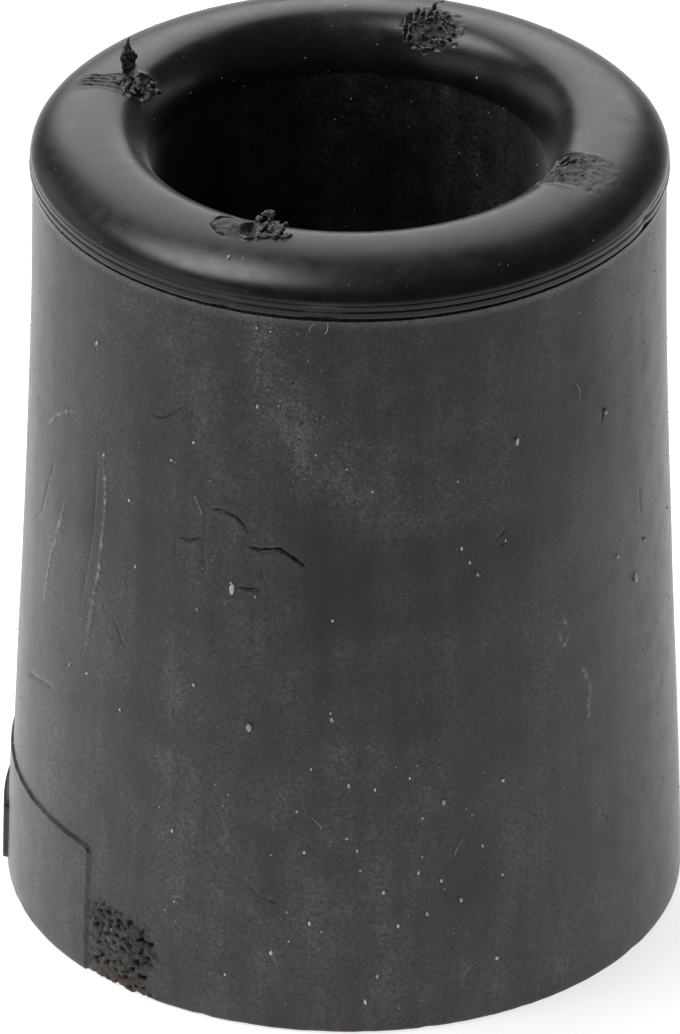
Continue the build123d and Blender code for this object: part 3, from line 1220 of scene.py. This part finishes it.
def moulded_rubber(name, colours):
    """Natural rubber filled with carbon black, compression moulded in a steel tool.

    Carbon black leaves it nearly colourless and very dark. The polished part of the tool leaves
    the lip smooth and rather glossy, the flank takes the tool's fine blasting as a satin pebble,
    wax and talc bloom to a grey film on it, and torn places are dull. Fine dust gives it all a
    pale sheen at a glance, weaker where it is polished, so the sheen follows the roughness.
    """
    material, tree, place = new_material(name)
    carried = {
        mask: add_node(tree, "ShaderNodeAttribute", {"attribute_name": mask}).outputs["Fac"]
        for mask in ("bloom_and_painted_light", "soil", "torn", "gloss")
    }
    # Film of talc: mottled at 0.22 mm and 1.3 mm, and drawn out in faint upright streaks 0.8 mm
    # wide. The mottle is drawn coarser than real talc, whose grains are under 0.05 mm.
    mottle = add_node(
        tree, "ShaderNodeTexNoise", Vector=place, Scale=1 / 0.00022, Detail=3.0, Roughness=0.7
    )
    blotch = add_node(tree, "ShaderNodeTexNoise", Vector=place, Scale=1 / 0.0013, Detail=3.0)
    drawn = add_node(tree, "ShaderNodeMapping", Vector=place, Scale=(1.0, 1.0, 0.12))
    streak = add_node(tree, "ShaderNodeTexNoise", Vector=drawn, Scale=1 / 0.0008, Detail=2.0)
    # The last two are the roughness: satin where the tool was blasted, glossier on the lip
    talc, cloudy, streaky, satin, polished = (
        add_node(tree, "ShaderNodeMapRange", i0=pattern, i1=low, i2=high, i3=least, i4=most)
        for pattern, low, high, least, most in (
            (mottle, 0.32, 0.75, 0.0, 2.6),
            (blotch, 0.3, 0.7, 0.6, 1.4),
            (streak, 0.3, 0.7, 0.75, 1.25),
            (blotch, 0.3, 0.7, 0.38, 0.50),
            (blotch, 0.3, 0.7, 0.27, 0.36),
        )
    )
    film = add_node(tree, "ShaderNodeMath", {"operation": "MULTIPLY"}, i0=talc, i1=cloudy)
    film = add_node(tree, "ShaderNodeMath", {"operation": "MULTIPLY"}, i0=film, i1=streaky)
    # The bloom mask also holds a painted highlight along the burr and painted darker reflections on
    # the flank
    film = add_node(
        tree, "ShaderNodeMath", {"operation": "MULTIPLY", "use_clamp": True},
        i0=film, i1=carried["bloom_and_painted_light"],
    )
    dusted = add_node(
        tree, "ShaderNodeMix", {"data_type": "RGBA"},
        i0=film, i6=colours.rubber, i7=colours.bloom_and_painted_light,
    ).outputs[2]
    speckled = add_node(
        tree, "ShaderNodeMath", {"operation": "MULTIPLY", "use_clamp": True},
        i0=carried["soil"], i1=talc,
    )
    colour = add_node(
        tree, "ShaderNodeMix", {"data_type": "RGBA"}, i0=speckled, i6=dusted, i7=colours.soil
    ).outputs[2]
    moulded = add_node(tree, "ShaderNodeMix", i0=carried["gloss"], i2=satin, i3=polished)
    rough = add_node(tree, "ShaderNodeMix", i0=carried["torn"], i2=moulded, i3=0.78)
    # Pebbling of the blasted tool, 0.16 mm across, too fine for the mesh to carry
    pebble = add_node(
        tree, "ShaderNodeTexNoise", Vector=place, Scale=1 / 0.00016, Detail=2.0, Roughness=0.6
    )
    depth = add_node(tree, "ShaderNodeMapRange", i0=carried["gloss"], i3=1.0, i4=0.3)
    bump = add_node(tree, "ShaderNodeBump", Strength=depth, Distance=0.000012, Height=pebble)
    shader = add_node(
        tree, "ShaderNodeBsdfPrincipled",
        Base_Color=colour, Roughness=rough, IOR=1.5, Normal=bump,
        Sheen_Weight=moulded, Sheen_Roughness=0.27,
    )
    add_node(tree, "ShaderNodeOutputMaterial", Surface=shader)
    return material


def torn_rubber(colours):
    """The same rubber where it was pulled apart: a dull, crumbly break with no tool finish."""
    material, tree, place = new_material("torn_black_rubber")
    crumbly = add_node(
        tree, "ShaderNodeTexNoise", Vector=place, Scale=1 / 0.00018, Detail=3.0, Roughness=0.7
    )
    tone = add_node(tree, "ShaderNodeValToRGB", i0=crumbly)
    ends = ((0.42, colours.rubber), (0.70, colours.bloom_and_painted_light))
    for element, (position, shade) in zip(tone.color_ramp.elements, ends):
        element.position, element.color = position, shade
    rough = add_node(tree, "ShaderNodeMapRange", i0=crumbly, i3=0.42, i4=0.75)
    bump = add_node(tree, "ShaderNodeBump", Strength=1.0, Distance=0.00003, Height=crumbly)
    shader = add_node(
        tree, "ShaderNodeBsdfPrincipled",
        Base_Color=tone, Roughness=rough, IOR=1.5, Normal=bump,
    )
    add_node(tree, "ShaderNodeOutputMaterial", Surface=shader)
    return material


def dust_finish(name, colour, dull):
    """Mineral dust, such as talc and chalk: matt, pale, and uneven from place to place.

    Its pattern is 0.9 mm across, coarser than a grain, so that each grain has nearly one tone.
    """
    material, tree, place = new_material(name)
    grains = add_node(tree, "ShaderNodeTexNoise", Vector=place, Scale=1 / 0.0009, Detail=1.0)
    shade = add_node(tree, "ShaderNodeMapRange", i0=grains, i1=0.35, i2=0.65, i3=dull, i4=1.0)
    dark = [0.25 * part for part in colour[:3]] + [1.0]
    tone = add_node(
        tree, "ShaderNodeMix", {"data_type": "RGBA"}, i0=shade, i6=dark, i7=colour
    ).outputs[2]
    rough = add_node(tree, "ShaderNodeMapRange", i0=grains, i3=0.8, i4=0.95)
    shader = add_node(
        tree, "ShaderNodeBsdfPrincipled", Base_Color=tone, Roughness=rough, IOR=1.5
    )
    add_node(tree, "ShaderNodeOutputMaterial", Surface=shader)
    return material


def lit_table(colours, glow):
    """Pale acrylic shooting table, matt on top, lit from below and brightest behind the object."""
    material, tree, place = new_material("pale_matt_acrylic")
    behind = add_node(
        tree, "ShaderNodeVectorMath", {"operation": "SUBTRACT"}, i0=place, i1=(0.0, 0.06, 0.0)
    )
    away = add_node(tree, "ShaderNodeVectorMath", {"operation": "LENGTH"}, i0=behind).outputs[1]
    pool = add_node(
        tree, "ShaderNodeMapRange", {"interpolation_type": "SMOOTHSTEP"},
        i0=away, i1=0.10, i2=0.18, i3=glow, i4=0.12 * glow,
    )
    shader = add_node(
        tree, "ShaderNodeBsdfPrincipled",
        Base_Color=colours.floor, Roughness=0.9, IOR=1.49,
        Emission_Color=(1.0, 1.0, 0.995, 1.0), Emission_Strength=pool,
    )
    add_node(tree, "ShaderNodeOutputMaterial", Surface=shader)
    return material


# ---------------------------------------------------------------- stage

# Softboxes: azimuth and elevation from the object's middle, distance, width, height, in degrees
# and metres, and radiance
SOFTBOXES = {
    "key_left": (-178.0, 63.0, 1.0, 0.52, 0.52, 7.0),
    "top_back": (92.0, 34.0, 1.4, 1.15, 1.35, 2.1),
    "fill_left": (155.0, 14.0, 1.5, 1.2, 0.6, 0.75),
    "fill_front_left": (-150.0, 16.0, 1.5, 1.1, 0.7, 0.75),
    "fill_right": (22.0, 8.0, 1.5, 1.0, 0.5, 0.75),
}
FLOOR_RADIUS = 12.0
FLOOR_GAP = 0.00003


def direction(azimuth, elevation):
    """Unit vector towards an azimuth and elevation in degrees, azimuth 0 along +X."""
    a, e = math.radians(azimuth), math.radians(elevation)
    return Vector((math.cos(e) * math.cos(a), math.cos(e) * math.sin(a), math.sin(e)))


def add_softbox(name, azimuth, elevation, distance, width, height, radiance):
    """Area light that faces the object and gives one radiance all over."""
    light = bpy.data.lights.new(name, "AREA")
    light.shape = "RECTANGLE"
    light.size, light.size_y = width, height
    light.energy = radiance * math.pi * width * height
    made = bpy.data.objects.new(name, light)
    away = direction(azimuth, elevation)
    made.location = Vector((0, 0, TOTAL_HEIGHT * MM / 2)) + away * distance
    made.rotation_euler = away.to_track_quat("Z", "Y").to_euler()
    made.visible_camera = False
    bpy.context.scene.collection.objects.link(made)


def add_floor(settings, colours):
    """Large pale disc under the object."""
    disc = bmesh.new()
    bmesh.ops.create_circle(disc, cap_ends=True, segments=96, radius=FLOOR_RADIUS)
    mesh = mesh_from("table_top", disc)
    mesh.materials.append(lit_table(colours, settings.floor_glow))
    # Just under the foot, so that the two faces do not share a plane
    mesh.transform(Matrix.Translation((0, 0, -FLOOR_GAP)))
    floor = link_object("table_top", mesh)


def add_camera(settings):
    """Camera in front of the object, looking down on it."""
    scene = bpy.context.scene
    camera = bpy.data.cameras.new("camera")
    camera.sensor_width = 36.0
    camera.lens = settings.distance / settings.view_height * camera.sensor_width
    camera.clip_start, camera.clip_end = 0.05, 50.0
    made = bpy.data.objects.new("camera", camera)
    aim = Vector((settings.aim_side, 0, settings.aim_height))
    away = direction(-90, math.degrees(settings.elevation))
    made.location = aim + away * settings.distance
    turned = away.to_track_quat("Z", "Y").to_matrix() @ Matrix.Rotation(settings.roll, 3, "Z")
    made.rotation_euler = turned.to_euler()
    scene.collection.objects.link(made)
    scene.camera = made


def add_world():
    """Dark even room, and colours shown as they are."""
    scene = bpy.context.scene
    scene.world = bpy.data.worlds.new("studio")
    scene.world.use_nodes = True
    scene.world.node_tree.nodes.clear()
    room = add_node(
        scene.world.node_tree, "ShaderNodeBackground", Color=(1.0, 1.0, 1.0, 1.0), Strength=0.06
    )
    add_node(scene.world.node_tree, "ShaderNodeOutputWorld", Surface=room)
    scene.view_settings.view_transform = "Standard"
    scene.view_settings.look = "None"
    scene.view_settings.exposure = 0.0
    scene.view_settings.gamma = 1.0


# ---------------------------------------------------------------- operators


class BUFFER_OT_moulding(bpy.types.Operator):
    """Make the moulded rubber body"""

    bl_idname = "buffer.moulding"
    bl_label = "Moulding"
    bl_options = {"REGISTER", "UNDO"}

    def execute(self, context):
        sizes, finish = context.scene.buffer_moulding, context.scene.buffer_finish
        sheet = dressed_sheet(Section(sizes), sizes.columns)
        moulding = grown(
            "moulding",
            turning_tree(),
            sheet,
            {
                "Unevenness": sizes.unevenness,
                "Wave size": sizes.wave_size,
                "Grain depth": sizes.grain_depth,
                "Grain size": sizes.grain_size,
                "Seed": float(sizes.seed),
                "Rubber": moulded_rubber("satin_black_rubber", finish),
                "Polished": moulded_rubber("polished_black_rubber", finish),
            },
        )
        if not moulding.data.polygons:
            raise RuntimeError("the moulding came out empty")
        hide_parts(CAD_NODE)
        finish_piece(moulding)
        return {"FINISHED"}


class BUFFER_OT_gates(bpy.types.Operator):
    """Make the four torn gate stubs on the lip"""

    bl_idname = "buffer.gates"
    bl_label = "Torn gates"
    bl_options = {"REGISTER", "UNDO"}

    def execute(self, context):
        section = Section(context.scene.buffer_moulding)
        finish = torn_rubber(context.scene.buffer_finish)
        for index in range(len(GATES)):
            mesh = stub_mesh(index, section, context.scene.buffer_gates)
            if not mesh.polygons:
                raise RuntimeError("a gate stub came out empty")
            mesh.materials.clear()
            mesh.materials.append(finish)
            mesh.shade_smooth()
            finish_piece(link_object(f"gate_stub_{index + 1}", mesh))
        return {"FINISHED"}


class BUFFER_OT_dust(bpy.types.Operator):
    """Strew dust over the rubber"""

    bl_idname = "buffer.dust"
    bl_label = "Dust"
    bl_options = {"REGISTER", "UNDO"}

    def execute(self, context):
        settings, colours = context.scene.buffer_dust, context.scene.buffer_finish
        moulding = bpy.data.objects.get("moulding")
        if moulding is None:
            raise RuntimeError("the moulding is made before the dust")
        crumbs = dust_finish("chalk_crumbs", colours.crumbs, 0.35)
        powder = dust_finish("talc_powder", colours.powder, 0.3)
        tree = strewing_tree()
        grain = link_object("grain", grain_mesh("grain", 4.0, 0.6))
        for name, mask, density, radius, material in (
            ("dust_crumbs", "crumbs", settings.crumb_density, settings.crumb_radius, crumbs),
            ("dust_powder", "powder", settings.powder_density, settings.powder_radius, powder),
        ):
            strewn = grown(
                name,
                tree,
                moulding.data.copy(),
                {
                    "Grain": grain,
                    "Mask": mask,
                    "Density": density,
                    "Smallest": radius * 0.35,
                    "Largest": radius,
                    "Seed": settings.seed,
                    "Dust": material,
                },
            )
            finish_piece(strewn)
        bpy.data.objects.remove(grain)
        settled = placed_dust(Section(context.scene.buffer_moulding), settings.seed)
        settled.materials.append(crumbs)
        finish_piece(link_object("dust_specks", settled))
        return {"FINISHED"}


class BUFFER_OT_stage(bpy.types.Operator):
    """Set the pale table, the soft light and the camera"""

    bl_idname = "buffer.stage"
    bl_label = "Stage"
    bl_options = {"REGISTER", "UNDO"}

    def execute(self, context):
        settings = context.scene.buffer_stage
        add_world()
        add_floor(settings, context.scene.buffer_finish)
        for name, box in SOFTBOXES.items():
            add_softbox(name, *box)
        add_camera(settings)
        return {"FINISHED"}


OPERATORS = (BUFFER_OT_moulding, BUFFER_OT_gates, BUFFER_OT_dust, BUFFER_OT_stage)
SETTINGS = {
    "buffer_moulding": MouldingSettings,
    "buffer_gates": GateSettings,
    "buffer_dust": DustSettings,
    "buffer_finish": FinishSettings,
    "buffer_stage": StageSettings,
}


class BUFFER_PT_panel(bpy.types.Panel):
    """Sizes, colours and steps of the door buffer"""

    bl_idname = "BUFFER_PT_panel"
    bl_label = "Door Buffer"
    bl_space_type = "VIEW_3D"
    bl_region_type = "UI"
    bl_category = "Door Buffer"

    def draw(self, context):
        for operator in OPERATORS:
            self.layout.operator(operator.bl_idname)
        for holder in SETTINGS:
            box = self.layout.box()
            for name in SETTINGS[holder].__annotations__:
                box.prop(getattr(context.scene, holder), name)


def register():
    for made in (*SETTINGS.values(), *OPERATORS, BUFFER_PT_panel):
        bpy.utils.register_class(made)
    for holder, group in SETTINGS.items():
        setattr(bpy.types.Scene, holder, bpy.props.PointerProperty(type=group))


def unregister():
    for holder in SETTINGS:
        delattr(bpy.types.Scene, holder)
    for made in reversed((*SETTINGS.values(), *OPERATORS, BUFFER_PT_panel)):
        bpy.utils.unregister_class(made)


def main():
    """Register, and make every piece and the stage."""
    register()
    bpy.ops.buffer.moulding()
    bpy.ops.buffer.gates()
    bpy.ops.buffer.dust()
    bpy.ops.buffer.stage()


if __name__ == "__main__":
    main()
